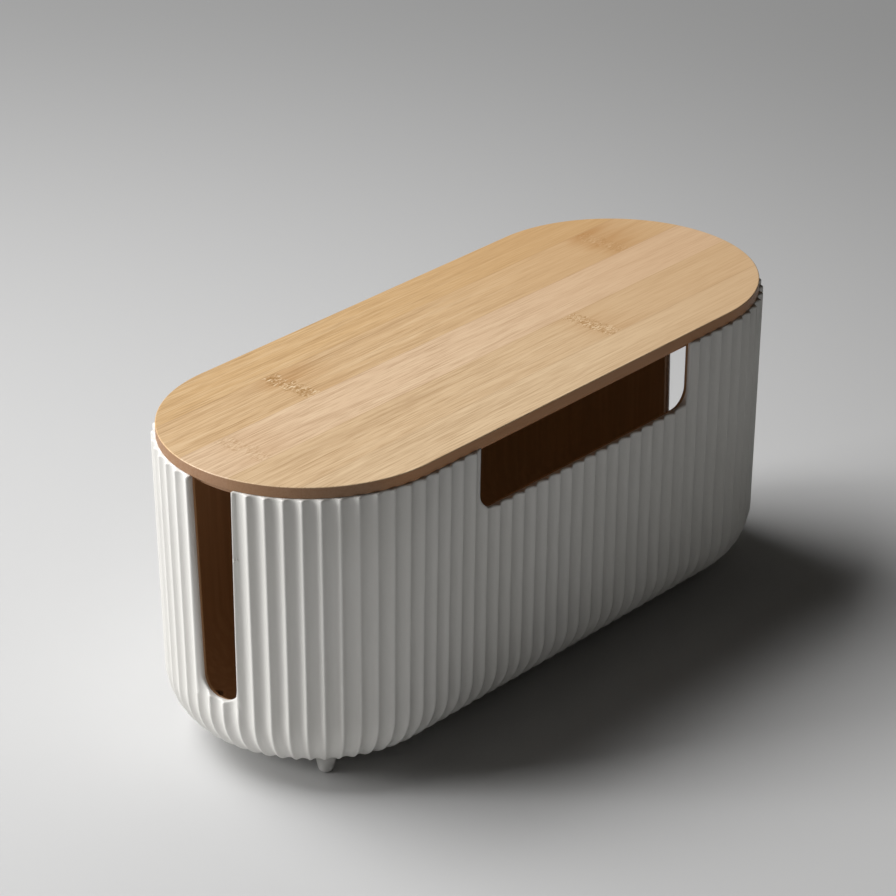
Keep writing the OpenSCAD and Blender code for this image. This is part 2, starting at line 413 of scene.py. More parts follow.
@dataclass
class WallSheet:
    """One face of a cup's wall, made as a flat fluted sheet and bent to its form.

    Attributes:
        form: the form that the sheet is bent to at no depth.
        wall: the columns of the sheet, fluted or plain.
        relief: share of the flutes' depth that the sheet takes.
        depth: how far the sheet lies inside the form.
        edge_round: radius of its open edges.
        hole_margin: width that a hole is cleared beyond its slot.
        turned_in: whether the edges turn inwards, as on an outer face, or out.
        approach_steps: rows of faces between a hole's edge and its slot's outline.
        round_steps: rows of faces round an open edge.
        edge_step: longest edge along a slot's sides.
        outline_tolerance: how near a vertex on a slot's outline lies to it.
    """

    form: CupForm
    wall: Flutes | PlainWall
    relief: float
    depth: float
    edge_round: float
    hole_margin: float
    turned_in: bool
    approach_steps: int = 4
    round_steps: int = 4
    edge_step: float = 1.5 * MM
    outline_tolerance: float = 0.1 * MM
    bm: BMesh = field(default_factory=bmesh.new)
    points: list[EdgePoint] = field(default_factory=list)

    def __post_init__(self) -> None:
        """Gives each vertex a number that names its entry among the points."""
        self.number = self.bm.verts.layers.int.new("edge_point")

    def build(self, slots: Sequence[Slot], wall_rows: Sequence[float], arc_steps: int) -> BMesh:
        """Builds the whole face with its slots and its rounded open edges.

        Args:
            slots: the slots to cut.
            wall_rows: heights of rows that the straight side needs.
            arc_steps: rows round the base corner.

        Returns:
            The bmesh, with its top edge open and its underside open in the middle.
        """
        top = self.form.rim - self.edge_round
        self.bend(self.form.stations([top, *wall_rows], arc_steps))
        for slot in slots:
            self.cut(slot)
        self.aim_rim()
        self.round_edges()
        return self.bm

    def bend(self, stations: Sequence[Station]) -> None:
        """Draws the sheet flat, row by row, and bends it round the form.

        Args:
            stations: the rows of the finished sheet, top first.
        """
        self.wall.draw(self.bm)
        edges = self.bm.edges[:]
        for _ in stations[1:]:
            made = bmesh.ops.extrude_edge_only(self.bm, edges=edges)["geom"]
            verts = {g for g in made if isinstance(g, BMVert)}
            bmesh.ops.translate(self.bm, verts=list(verts), vec=(0, -1, 0))
            edges = [g for g in made if isinstance(g, BMEdge) and set(g.verts) <= verts]
        for vert in self.bm.verts:
            station = stations[round(-vert.co.y)]
            depth = self.depth - vert.co.z * station.relief * self.relief
            vert.co = self.form.plan.place(vert.co.x, *station.at(depth))
        bmesh.ops.remove_doubles(self.bm, verts=self.bm.verts, dist=TOUCHING)

    def cut(self, slot: Slot) -> None:
        """Takes the faces in a slot out and leads the hole's edge to its outline.

        Args:
            slot: the slot to cut.
        """
        clear = slot.grown(self.hole_margin)
        inside = [f for f in self.bm.faces if self.in_hole(f, clear)]
        bmesh.ops.delete(self.bm, geom=inside, context="FACES")
        for edge in self.hole_edges(slot):
            low, high = sorted(v.co.z for v in edge.verts)
            if self.at_rim(high):
                high = self.form.rim
            cuts = math.ceil((high - low) / self.edge_step) - 1
            if cuts > 0:
                bmesh.ops.subdivide_edges(self.bm, edges=[edge], cuts=cuts)
        edges = self.hole_edges(slot)
        for vert in {v for e in edges for v in e.verts}:
            target, inward = slot.nearest(self.reference(vert.co, slot))
            self.aim(vert, EdgePoint(slot, slot.flat(vert.co), target, inward))
        for step in range(1, self.approach_steps + 1):
            edges = self.extend(edges, self.approach(step / self.approach_steps))
        for vert in {v for e in edges for v in e.verts}:
            if self.at_rim(vert.co.z):
                point = self.points[vert[self.number]]
                target, inward = slot.nearest(Vector((point.target.x, self.form.rim)))
                point.target, point.inward = target, inward + Vector((0, 1))

    def aim(self, vert: BMVert, point: EdgePoint) -> None:
        """Gives a vertex on an open edge its target."""
        vert[self.number] = len(self.points)
        self.points.append(point)

    def at_rim(self, height: float) -> bool:
        """Whether a height is that of the sheet's top row."""
        return abs(height - self.form.rim + self.edge_round) < TOUCHING

    def in_hole(self, face: BMFace, clear: Slot) -> bool:
        """Whether a face lies in a slot's hole, which has upright sides.

        Args:
            face: a face of the sheet.
            clear: the slot, grown by the margin of the hole.

        Returns:
            True if it does.
        """
        middle = face.calc_center_median()
        if middle.z < clear.foot or not clear.faces(middle, self.form):
            return False
        nearest = min(abs(self.reference(v.co, clear).x - clear.centre) for v in face.verts)
        return nearest < clear.half_width

    def hole_edges(self, slot: Slot) -> list[BMEdge]:
        """The open edges on a slot's side, without the rim beside it."""
        found = [e for e in self.top_edges() if slot.faces(e.verts[0].co, self.form)]
        return [e for e in found if not all(self.at_rim(v.co.z) for v in e.verts)]

    def reference(self, point: Vector, slot: Slot) -> Vector:
        """A point's place in the plane of a slot's side, moved out to no depth.

        Args:
            point: a point on the sheet.
            slot: the slot.

        Returns:
            Its coordinates in that plane.
        """
        flat = slot.flat(point)
        if slot.side is not Side.FRONT:
            turn = math.atan2(point.y, abs(point.x) - self.form.plan.half_straight)
            flat.x = self.form.out_at(point.z) * math.sin(turn)
        return flat

    def surface(self, slot: Slot, flat: Vector, drop: float) -> Vector:
        """Point on the sheet, or below it, behind a place in the plane of a side.

        Args:
            slot: the slot on that side.
            flat: the place in the plane.
            drop: distance below the sheet.

        Returns:
            The point in the row frame.
        """
        out = self.form.out_at(flat.y)
        along = slot.along(flat.x, out - self.depth, self.form.plan)
        depth = self.depth + self.wall.depth_at(along) * self.relief + drop
        along = slot.along(flat.x, out - depth, self.form.plan)
        return self.form.plan.place(along, out - depth, flat.y)

    def approach(self, share: float) -> Callable[[EdgePoint], Vector]:
        """Leads a hole's edge a share of the way to the outline.

        Args:
            share: the share, from 0 to 1.

        Returns:
            A function that gives a vertex's new place.
        """

        def placed(point: EdgePoint) -> Vector:
            """Place between where the vertex comes from and where it is going."""
            end = point.target - point.inward * self.edge_round
            return self.surface(point.slot, point.start.lerp(end, share), 0)

        return placed

    def rounding(self, angle: float) -> Callable[[EdgePoint], Vector]:
        """Leads an open edge round its edge radius.

        Args:
            angle: how far it has turned.

        Returns:
            A function that gives a vertex's new place.
        """
        back = self.edge_round * (1 - math.sin(angle))
        drop = self.edge_round * (1 - math.cos(angle))
        drop = drop if self.turned_in else -drop

        def placed(point: EdgePoint) -> Vector:
            """Place on the rounding, at this angle.

            Args:
                point: where the vertex is going.

            Returns:
                The point in the row frame.
            """
            flat = point.target - point.inward * back
            if point.slot:
                return self.surface(point.slot, flat, drop)
            depth = self.depth + self.wall.depth_at(flat.x) * self.relief + drop
            return self.form.plan.place(flat.x, self.form.out_at(flat.y) - depth, flat.y)

        return placed

    def aim_rim(self) -> None:
        """Gives every vertex on the rim its target."""
        for vert in {v for e in self.top_edges() for v in e.verts}:
            if self.at_rim(vert.co.z) and not self.is_slot_edge(vert):
                target = Vector((self.form.plan.along(vert.co), self.form.rim))
                self.aim(vert, EdgePoint(None, target, target, Vector((0, 1))))

    def is_slot_edge(self, vert: BMVert) -> bool:
        """Whether a vertex lies on the outline of its slot, grown by the edge radius.

        Args:
            vert: a vertex on an open edge.

        Returns:
            True if it does.
        """
        point = self.points[vert[self.number]]
        if not point.slot.faces(vert.co, self.form):
            return False
        end = point.target - point.inward * self.edge_round
        return (point.slot.flat(vert.co) - end).length < self.outline_tolerance

    def top_edges(self) -> list[BMEdge]:
        """The open edges above the base corner."""
        foot = self.form.wall_foot
        return [e for e in self.bm.edges if e.is_boundary and e.verts[0].co.z > foot]

    def round_edges(self) -> None:
        """Rounds the rim and the slots' edges together."""
        edges = self.top_edges()
        for step in range(1, self.round_steps + 1):
            angle = step / self.round_steps * math.pi / 2
            edges = self.extend(edges, self.rounding(angle))

    def extend(self, edges: list[BMEdge], placed: Callable[[EdgePoint], Vector]) -> list[BMEdge]:
        """Extrudes open edges once and puts the new vertices in place.

        Args:
            edges: a chain of open edges.
            placed: gives a vertex's new place.

        Returns:
            The new chain of open edges.
        """
        made = bmesh.ops.extrude_edge_only(self.bm, edges=edges)["geom"]
        verts = {g for g in made if isinstance(g, BMVert)}
        for vert in verts:
            vert.co = placed(self.points[vert[self.number]])
        return [g for g in made if isinstance(g, BMEdge) and set(g.verts) <= verts]


@dataclass(frozen=True)
class Cup:
    """An open cup with cable slots, of one wall thickness.

    Attributes:
        extra_rows: heights of more rows on the straight side.
        clearance: width that a hole is cleared beyond its slot, in edge radii.
        row_gap: how far the row under a hole lies below it.
    """

    form: CupForm
    wall: Flutes | PlainWall
    thickness: float
    slots: tuple[Slot, ...]
    outer_round: float
    inner_round: float
    extra_rows: tuple[float, ...] = ()
    clearance: float = 1.4
    row_gap: float = 0.2 * MM
    arc_steps: int = 12

    def mesh(self) -> BMesh:
        """Builds the cup as one closed wall.

        Returns:
            A bmesh with its faces pointing outwards.
        """
        margin = self.outer_round * self.clearance
        hole_rows = {slot.grown(margin).foot - self.row_gap for slot in self.slots}
        rows = sorted(hole_rows.union(self.extra_rows), reverse=True)
        outer = WallSheet(self.form, self.wall, 1, 0, self.outer_round, margin, True)
        inner = WallSheet(
            self.form, self.wall, 0, self.thickness, self.inner_round, margin, False
        )
        bm = outer.build(self.slots, rows, self.arc_steps)
        join(bm, inner.build(self.slots, rows, self.arc_steps))
        foot = self.form.wall_foot
        open_edges = [e for e in bm.edges if e.is_boundary]
        rim = [e for e in open_edges if e.verts[0].co.z > foot]
        bmesh.ops.bridge_loops(bm, edges=rim)
        for floor in split_loops([e for e in open_edges if e.verts[0].co.z <= foot]):
            bmesh.ops.contextual_create(bm, geom=floor)
        bmesh.ops.recalc_face_normals(bm, faces=bm.faces)
        return bm


def join(bm: BMesh, other: BMesh) -> None:
    """Adds another bmesh to one and frees it.

    Args:
        bm: the bmesh that grows.
        other: the bmesh that is added.
    """
    mesh = bpy.data.meshes.new("joined")
    other.to_mesh(mesh)
    other.free()
    bm.from_mesh(mesh)
    bpy.data.meshes.remove(mesh)


def split_loops(edges: Iterable[BMEdge]) -> list[list[BMEdge]]:
    """Sorts edges into closed loops.

    Args:
        edges: edges of one or more separate loops.

    Returns:
        The edges of each loop.
    """
    left = set(edges)
    loops = []
    while left:
        found, queue = [], [left.pop()]
        while queue:
            edge = queue.pop()
            found.append(edge)
            near = {e for v in edge.verts for e in v.link_edges if e in left}
            left -= near
            queue += near
        loops.append(found)
    return loops


def make_object(name: str, bm: BMesh, material: Material) -> Object:
    """Makes a smooth-shaded object from a bmesh and frees it.

    Args:
        name: the piece's name.
        bm: its mesh in the row frame.
        material: its material.

    Returns:
        The object, linked to the scene.
    """
    mesh = bpy.data.meshes.new(name)
    bm.to_mesh(mesh)
    bm.free()
    mesh.shade_smooth()
    mesh.materials.append(material)
    obj = bpy.data.objects.new(name, mesh)
    bpy.context.scene.collection.objects.link(obj)
    return obj


@dataclass(frozen=True)
class Board:
    """A flat board with round ends and softened edges."""

    plan: Plan
    bottom: float
    top: float
    edge: float
    end_steps: int = 96
    edge_steps: int = 3

    def mesh(self) -> BMesh:
        """Builds the board.

        Returns:
            A bmesh of the closed board.
        """
        bm = bmesh.new()
        half, radius = self.plan.half_straight, self.plan.radius
        last = bm.verts.new((half, -radius, self.bottom))
        for end in (half, -half):
            spun = bmesh.ops.spin(
                bm, geom=[last], cent=(end, 0, self.bottom), axis=(0, 0, 1),
                angle=math.pi, steps=self.end_steps, use_duplicate=False,
            )
            last = next(g for g in spun["geom_last"] if isinstance(g, BMVert))
            last = bmesh.ops.extrude_vert_indiv(bm, verts=[last])["verts"][0]
            last.co.x -= math.copysign(2 * half, end)
        bmesh.ops.remove_doubles(bm, verts=bm.verts, dist=TOUCHING)
        low = bmesh.ops.contextual_create(bm, geom=bm.edges[:])["faces"]
        made = bmesh.ops.extrude_face_region(bm, geom=low, use_keep_orig=True)["geom"]
        top = [g for g in made if isinstance(g, BMVert)]
        bmesh.ops.translate(bm, verts=top, vec=(0, 0, self.top - self.bottom))
        bmesh.ops.recalc_face_normals(bm, faces=bm.faces)
        around = [e for e in bm.edges if e.verts[0].co.z == e.verts[1].co.z]
        bmesh.ops.bevel(
            bm, geom=around, offset=self.edge, segments=self.edge_steps,
            profile=0.5, affect="EDGES", material=-1,
        )
        return bm


@dataclass(frozen=True)
class Lathe:
    """A turned form: an outline of radius and height, whose lower end may be rounded.

    Attributes:
        outline: its corners as radius and height, both ends on the axis.
        rounded_end: radius of the rounding round its first end, if it has one.
    """

    outline: tuple[tuple[float, float], ...]
    rounded_end: float = 0.0
    steps: int = 48
    round_steps: int = 6

    def mesh(self, axis: Vector) -> BMesh:
        """Turns the outline about an upright axis.

        Args:
            axis: a point on the axis at height 0.

        Returns:
            A bmesh of the closed form.
        """
        bm = bmesh.new()
        verts = [bm.verts.new((radius, 0, height)) for radius, height in self.outline]
        edges = [bm.edges.new(pair) for pair in zip(verts, verts[1:])]
        bmesh.ops.spin(
            bm, geom=verts + edges, cent=(0, 0, 0), axis=(0, 0, 1),
            angle=2 * math.pi, steps=self.steps, use_merge=True, use_duplicate=False,
        )
        bmesh.ops.remove_doubles(bm, verts=bm.verts, dist=TOUCHING)
        bmesh.ops.recalc_face_normals(bm, faces=bm.faces)
        if self.rounded_end:
            ring = [e for e in bm.edges if all(self.on_end(v) for v in e.verts)]
            bmesh.ops.bevel(
                bm, geom=ring, offset=self.rounded_end, segments=self.round_steps,
                profile=0.5, affect="EDGES", material=-1, clamp_overlap=True,
            )
        bmesh.ops.translate(bm, verts=bm.verts, vec=axis)
        return bm

    def on_end(self, vert: BMVert) -> bool:
        """Whether a vertex lies round the first end, off the axis."""
        return abs(vert.co.z - self.outline[0][1]) < TOUCHING < vert.co.xy.length


# ------------------------------------------------------------------------ finishes

Colour = tuple[float, float, float]
Value = float | Sequence[float] | NodeSocket
Sockets = dict[str, NodeSocket]
NOISE_RANGE = (0.3, 0.7)


class Bench:
    """Puts nodes into one node tree and joins them."""

    def __init__(self, tree: NodeTree) -> None:
        """Keeps the tree."""
        self.tree = tree

    def add(
        self, kind: str, given: dict[str | int, Value] | None = None, **settings: object
    ) -> Node:
        """Adds a node.

        Args:
            kind: the node's type.
            given: values or sockets for its inputs, by name or number.
            settings: the node's own settings.

        Returns:
            The node.
        """
        node = self.tree.nodes.new(kind)
        for name, value in settings.items():
            setattr(node, name, value)
        for key, value in (given or {}).items():
            self.feed(node.inputs[key], value)
        return node

    def feed(self, socket: NodeSocket, value: Value) -> None:
        """Gives an input a value or joins it to an output.

        Args:
            socket: the input.
            value: a number, vector, colour or output.
        """
        if isinstance(value, NodeSocket):
            self.tree.links.new(value, socket)
        elif socket.type == "RGBA":
            socket.default_value = (*value, 1.0)
        else:
            socket.default_value = value

    def math(self, operation: str, *values: Value) -> NodeSocket:
        """Works out numbers and gives the result."""
        node = self.add("ShaderNodeMath", dict(enumerate(values)), operation=operation)
        return node.outputs[0]

    def times(self, first: Value, second: Value) -> NodeSocket:
        """Multiplies two numbers."""
        return self.math("MULTIPLY", first, second)

    def minus(self, first: Value, second: Value) -> NodeSocket:
        """Takes one number from another."""
        return self.math("SUBTRACT", first, second)

    def vector(self, operation: str, *values: Value) -> NodeSocket:
        """Works out vectors and gives the result."""
        node = self.add("ShaderNodeVectorMath", dict(enumerate(values)), operation=operation)
        return node.outputs[0]

    def axes(self, vector: Value) -> Sequence[NodeSocket]:
        """Splits a vector into X, Y and Z."""
        return tuple(self.add("ShaderNodeSeparateXYZ", {0: vector}).outputs)

    def spread(self, vector: Value, scale: Sequence[float]) -> NodeSocket:
        """Scales coordinates."""
        return self.add("ShaderNodeMapping", {"Vector": vector, "Scale": scale}).outputs[0]

    def noise(
        self, vector: Value, detail: float, roughness: float = 0.5, warp: float = 0.0
    ) -> NodeSocket:
        """Adds noise with features about one unit wide.

        Args:
            vector: where the noise is read.
            detail: number of finer layers.
            roughness: strength of the finer layers.
            warp: how far the pattern is bent by itself.

        Returns:
            The noise, from 0 to 1.
        """
        given = {
            "Vector": vector, "Scale": 1.0, "Detail": detail,
            "Roughness": roughness, "Distortion": warp,
        }
        return self.add("ShaderNodeTexNoise", given).outputs["Fac"]

    def fade(
        self, value: Value, low: Value, high: Value, start: Value = 0.0, end: Value = 1.0
    ) -> NodeSocket:
        """Leads a result smoothly from one number to another between two limits.

        Args:
            value: what the limits are for.
            low: the limit at which the result is start.
            high: the limit at which the result is end.
            start: the first number.
            end: the last number.

        Returns:
            The result.
        """
        given = {"Value": value, "From Min": low, "From Max": high, "To Min": start, "To Max": end}
        node = self.add("ShaderNodeMapRange", given, interpolation_type="SMOOTHSTEP")
        return node.outputs[0]

    def blend(self, share: Value, first: Value, second: Value) -> NodeSocket:
        """Blends two colours.

        Args:
            share: share of the second colour, from 0 to 1.
            first: a colour.
            second: another colour.

        Returns:
            The blended colour.
        """
        node = self.add("ShaderNodeMix", data_type="RGBA")
        for key, value in ((0, share), (6, first), (7, second)):
            self.feed(node.inputs[key], value)
        return node.outputs[2]

    def bands(self, value: Value, colours: Sequence[Colour]) -> NodeSocket:
        """Gives equal parts of the range from 0 to 1 a colour each.

        Args:
            value: a number from 0 to 1.
            colours: the parts' colours in order.

        Returns:
            The colour of the part that the value lies in.
        """
        node = self.add("ShaderNodeValToRGB", {"Fac": value})
        node.color_ramp.interpolation = "CONSTANT"
        elements = node.color_ramp.elements
        while len(elements) < len(colours):
            elements.new(1.0)
        for index, (element, colour) in enumerate(zip(elements, colours)):
            element.position = index / len(colours)
            element.color = (*colour, 1.0)
        return node.outputs["Color"]

    def bump(self, height: Value, strength: float, distance: float) -> NodeSocket:
        """Adds a bump of a real height in metres."""
        given = {"Height": height, "Strength": strength, "Distance": distance}
        return self.add("ShaderNodeBump", given).outputs["Normal"]

    def effect(self, effect: "Effect", given: dict[str, Value]) -> Sockets:
        """Places a shared effect.

        Args:
            effect: the effect.
            given: values or sockets for its inputs.

        Returns:
            Its outputs by name.
        """
        node = self.add("ShaderNodeGroup", node_tree=effect.tree())
        for name, value in given.items():
            self.feed(node.inputs[name], value)
        return {socket.name: socket for socket in node.outputs}


class Effect:
    """A shared node group, built when it is first placed."""

    name = ""
    inputs: dict[str, str] = {}
    outputs: dict[str, str] = {}

    def tree(self) -> NodeTree:
        """Gives the node group, and builds it once."""
        known = bpy.data.node_groups.get(self.name)
        return known or self.build()

    def build(self) -> NodeTree:
        """Builds the node group with its sockets.

        Returns:
            The node group.
        """
        tree = bpy.data.node_groups.new(self.name, "ShaderNodeTree")
        for name, kind in self.inputs.items():
            tree.interface.new_socket(name=name, in_out="INPUT", socket_type=kind)
        for name, kind in self.outputs.items():
            tree.interface.new_socket(name=name, in_out="OUTPUT", socket_type=kind)
        bench = Bench(tree)
        given = {s.name: s for s in bench.add("NodeGroupInput").outputs if s.name}
        made = self.wire(bench, given)
        bench.add("NodeGroupOutput", made)
        return tree

    def wire(self, bench: Bench, given: Sockets) -> Sockets:
        """Joins the effect's nodes and gives what goes to its outputs."""
        raise NotImplementedError


class MouldGrain(Effect):
    """Very fine grain and faint flow marks on moulded plastic."""

    name = "mould_grain"
    inputs = {"Vector": "NodeSocketVector", "Grain Size": "NodeSocketFloat"}
    outputs = {"Height": "NodeSocketFloat", "Mottle": "NodeSocketFloat"}
    flow_marks = (14, 14, 9)

    def wire(self, bench: Bench, given: Sockets) -> Sockets:
        """Joins fine noise for the grain and broad noise for the flow marks.

        Args:
            bench: puts nodes into the group.
            given: the group's inputs by name.

        Returns:
            What goes to the group's outputs.
        """
        scaled = bench.vector("DIVIDE", given["Vector"], given["Grain Size"])
        grain = bench.noise(scaled, detail=3.0, roughness=0.6)
        broad = bench.noise(bench.spread(given["Vector"], self.flow_marks), detail=3.0)
        return {"Height": grain, "Mottle": broad}


class Fibres(Effect):
    """Streaks that run along X, as wood fibres do."""

    name = "fibres"
    inputs = {
        "Vector": "NodeSocketVector",
        "Length": "NodeSocketFloat",
        "Width": "NodeSocketFloat",
        "Seed": "NodeSocketFloat",
    }
    outputs = {"Value": "NodeSocketFloat"}

    def wire(self, bench: Bench, given: Sockets) -> Sockets:
        """Joins noise that is stretched along X.

        Args:
            bench: puts nodes into the group.
            given: the group's inputs by name.

        Returns:
            What goes to the group's outputs.
        """
        along, across = given["Length"], given["Width"]
        size = bench.add("ShaderNodeCombineXYZ", {"X": along, "Y": across, "Z": across})
        scaled = bench.vector("DIVIDE", given["Vector"], size.outputs[0])
        seed = bench.add("ShaderNodeCombineXYZ", {"X": given["Seed"], "Y": given["Seed"]})
        moved = bench.vector("ADD", scaled, seed.outputs[0])
        return {"Value": bench.noise(moved, detail=2.5, roughness=0.55)}


class Knuckle(Effect):
    """A bamboo knuckle: a band of short marks across one strip, with a smudge beside it.

    Attributes:
        edge_fade: width over which it ends at the strip's edges.
        drift: how far the band wanders along the strip.
        band: distances from the band's middle at which its marks thin out and end.
        smudge: how far the smudge reaches, to either side.
        bends, marks, clouds: features in a metre along each axis.
        dark_range, pale_range, cloud_range: the parts of that noise that show.
    """

    name = "knuckle"
    inputs = {
        "Vector": "NodeSocketVector",
        "Along": "NodeSocketFloat",
        "Across": "NodeSocketFloat",
        "Half Strip": "NodeSocketFloat",
    }
    outputs = {"Dark": "NodeSocketFloat", "Pale": "NodeSocketFloat", "Smudge": "NodeSocketFloat"}
    edge_fade = 0.6 * MM
    drift = 9 * MM
    band = (2.8 * MM, 5.6 * MM)
    smudge = (-16 * MM, 34 * MM)
    bends = (0, 160, 0)
    marks = (330, 1150, 700)
    clouds = (22, 110, 60)
    dark_range = (0.50, 0.40)
    pale_range = (0.55, 0.66)
    cloud_range = (0.25, 0.7)

    def wire(self, bench: Bench, given: Sockets) -> Sockets:
        """Joins the band's mask, its marks and the smudge.

        Args:
            bench: puts nodes into the group.
            given: the group's inputs by name.

        Returns:
            What goes to the group's outputs.
        """
        vector, half_strip = given["Vector"], given["Half Strip"]
        x, y, _ = bench.axes(vector)
        side = bench.math("ABSOLUTE", bench.minus(y, given["Across"]))
        edge = bench.minus(half_strip, self.edge_fade)
        in_strip = bench.fade(side, edge, half_strip, 1.0, 0.0)
        drift = bench.noise(bench.spread(vector, self.bends), detail=3.0)
        drift = bench.times(bench.minus(drift, 0.5), self.drift)
        off = bench.minus(bench.minus(x, given["Along"]), drift)
        inner, outer = self.band
        band = bench.fade(bench.math("ABSOLUTE", off), inner, outer, 1.0, 0.0)
        mask = bench.times(band, in_strip)
        marks = bench.noise(bench.spread(vector, self.marks), detail=1.5, warp=1.4)
        before, after = self.smudge
        cloud = bench.noise(bench.spread(vector, self.clouds), detail=2.0)
        smudge = bench.times(bench.fade(off, before, 0.0), bench.fade(off, 0.0, after, 1.0, 0.0))
        smudge = bench.times(smudge, bench.fade(cloud, *self.cloud_range))
        return {
            "Dark": bench.times(mask, bench.fade(marks, *self.dark_range)),
            "Pale": bench.times(mask, bench.fade(marks, *self.pale_range)),
            "Smudge": bench.times(smudge, in_strip),
        }


class Finish:
    """A material that is built from nodes on Object coordinates."""

    name: str

    def material(self) -> Material:
        """Builds the material.

        Returns:
            The material with its shader.
        """
        made = bpy.data.materials.new(self.name)
        made.use_nodes = True
        made.node_tree.nodes.clear()
        bench = Bench(made.node_tree)
        shader = bench.add("ShaderNodeBsdfPrincipled")
        bench.add("ShaderNodeOutputMaterial", {"Surface": shader.outputs["BSDF"]})
        place = bench.add("ShaderNodeTexCoord").outputs["Object"]
        for name, value in self.dress(bench, place).items():
            bench.feed(shader.inputs[name], value)
        return made

    def dress(self, bench: Bench, place: NodeSocket) -> dict[str, Value]:
        """Builds the finish and gives what goes to the shader's inputs."""
        raise NotImplementedError


@dataclass(frozen=True)
class MouldedPlastic(Finish):
    """Satin plastic with a fine moulded grain.

    Attributes:
        shade: colour of its flow marks.
        roughness: least and greatest roughness.
        mottle: the part of the flow marks' noise that shows.
    """

    name: str
    colour: Colour
    shade: Colour
    roughness: tuple[float, float]
    mottle: tuple[float, float] = (0.35, 0.7)
    grain_size: float = 0.35 * MM
    grain_height: float = 0.012 * MM

    def dress(self, bench: Bench, place: NodeSocket) -> dict[str, Value]:
        """Joins the grain, the faint mottling and the gloss.

        Args:
            bench: puts nodes into the material.
            place: Object coordinates.

        Returns:
            Values and sockets for the shader's inputs.
        """
        grain = bench.effect(MouldGrain(), {"Vector": place, "Grain Size": self.grain_size})
        share = bench.fade(grain["Mottle"], *self.mottle)
        return {
            "Base Color": bench.blend(share, self.colour, self.shade),
            "Roughness": bench.fade(grain["Mottle"], *NOISE_RANGE, *self.roughness),
            "Normal": bench.bump(grain["Height"], strength=0.6, distance=self.grain_height),
            "IOR": 1.47,
        }


@dataclass(frozen=True)
class StainedTub(Finish):
    """Dark brown moulding with faint upright streaks and a painted glow.

    Attributes:
        glow, near_glow: painted glow, emitted by the tub itself for light that comes through
        the thin walls, in the middle and at the near end, where the walls face the lamps.
        near_end: X at which the near end's light starts to fade, and its last.
        rise: heights between which the near end's light grows.
        low_share: share of the near end's light below them.
        roughness: least and greatest roughness.
        streaking: the part of the streaks' noise that shows.
    """

    name: str = "tub_brown"
    colour: Colour = (0.40, 0.235, 0.125)
    streak: Colour = (0.47, 0.29, 0.16)
    # painted glow: emitted colour that stands in for light through the walls
    glow: Colour = (0.0072, 0.0038, 0.0014)
    near_glow: Colour = (0.0400, 0.0190, 0.0080)
    near_end: tuple[float, float] = (-130 * MM, -50 * MM)
    rise: tuple[float, float] = (40 * MM, 130 * MM)
    low_share: float = 0.55
    roughness: tuple[float, float] = (0.46, 0.56)
    streaking: tuple[float, float] = (0.4, 0.7)
    streak_length: float = 90 * MM
    streak_width: float = 3.5 * MM
    grain_size: float = 0.4 * MM
    grain_height: float = 0.012 * MM

    def dress(self, bench: Bench, place: NodeSocket) -> dict[str, Value]:
        """Joins the upright streaks, the moulded grain and the painted glow.

        Args:
            bench: puts nodes into the material.
            place: Object coordinates.

        Returns:
            Values and sockets for the shader's inputs.
        """
        turned = bench.add("ShaderNodeMapping", {"Vector": place, "Rotation": (0, math.pi / 2, 0)})
        given = {
            "Vector": turned.outputs[0], "Length": self.streak_length,
            "Width": self.streak_width, "Seed": 3.0,
        }
        share = bench.fade(bench.effect(Fibres(), given)["Value"], *self.streaking)
        grain = bench.effect(MouldGrain(), {"Vector": place, "Grain Size": self.grain_size})
        x, _, z = bench.axes(place)
        near = bench.fade(x, *self.near_end, 1.0, 0.0)
        near = bench.times(near, bench.fade(z, *self.rise, self.low_share, 1.0))
        return {
            "Base Color": bench.blend(share, self.colour, self.streak),
            "Roughness": bench.fade(grain["Mottle"], *NOISE_RANGE, *self.roughness),
            "Normal": bench.bump(grain["Height"], strength=0.5, distance=self.grain_height),
            # painted light: the emission stands in for light through the walls, stronger at the
            # near end
            "Emission Color": bench.blend(near, self.glow, self.near_glow),
            "Emission Strength": 1.0,
        }


@dataclass(frozen=True)
class Knot:
    """Where one knuckle of the bamboo shows, and how strongly."""

    along: float
    strip: int
    marks: float
    smudge: float


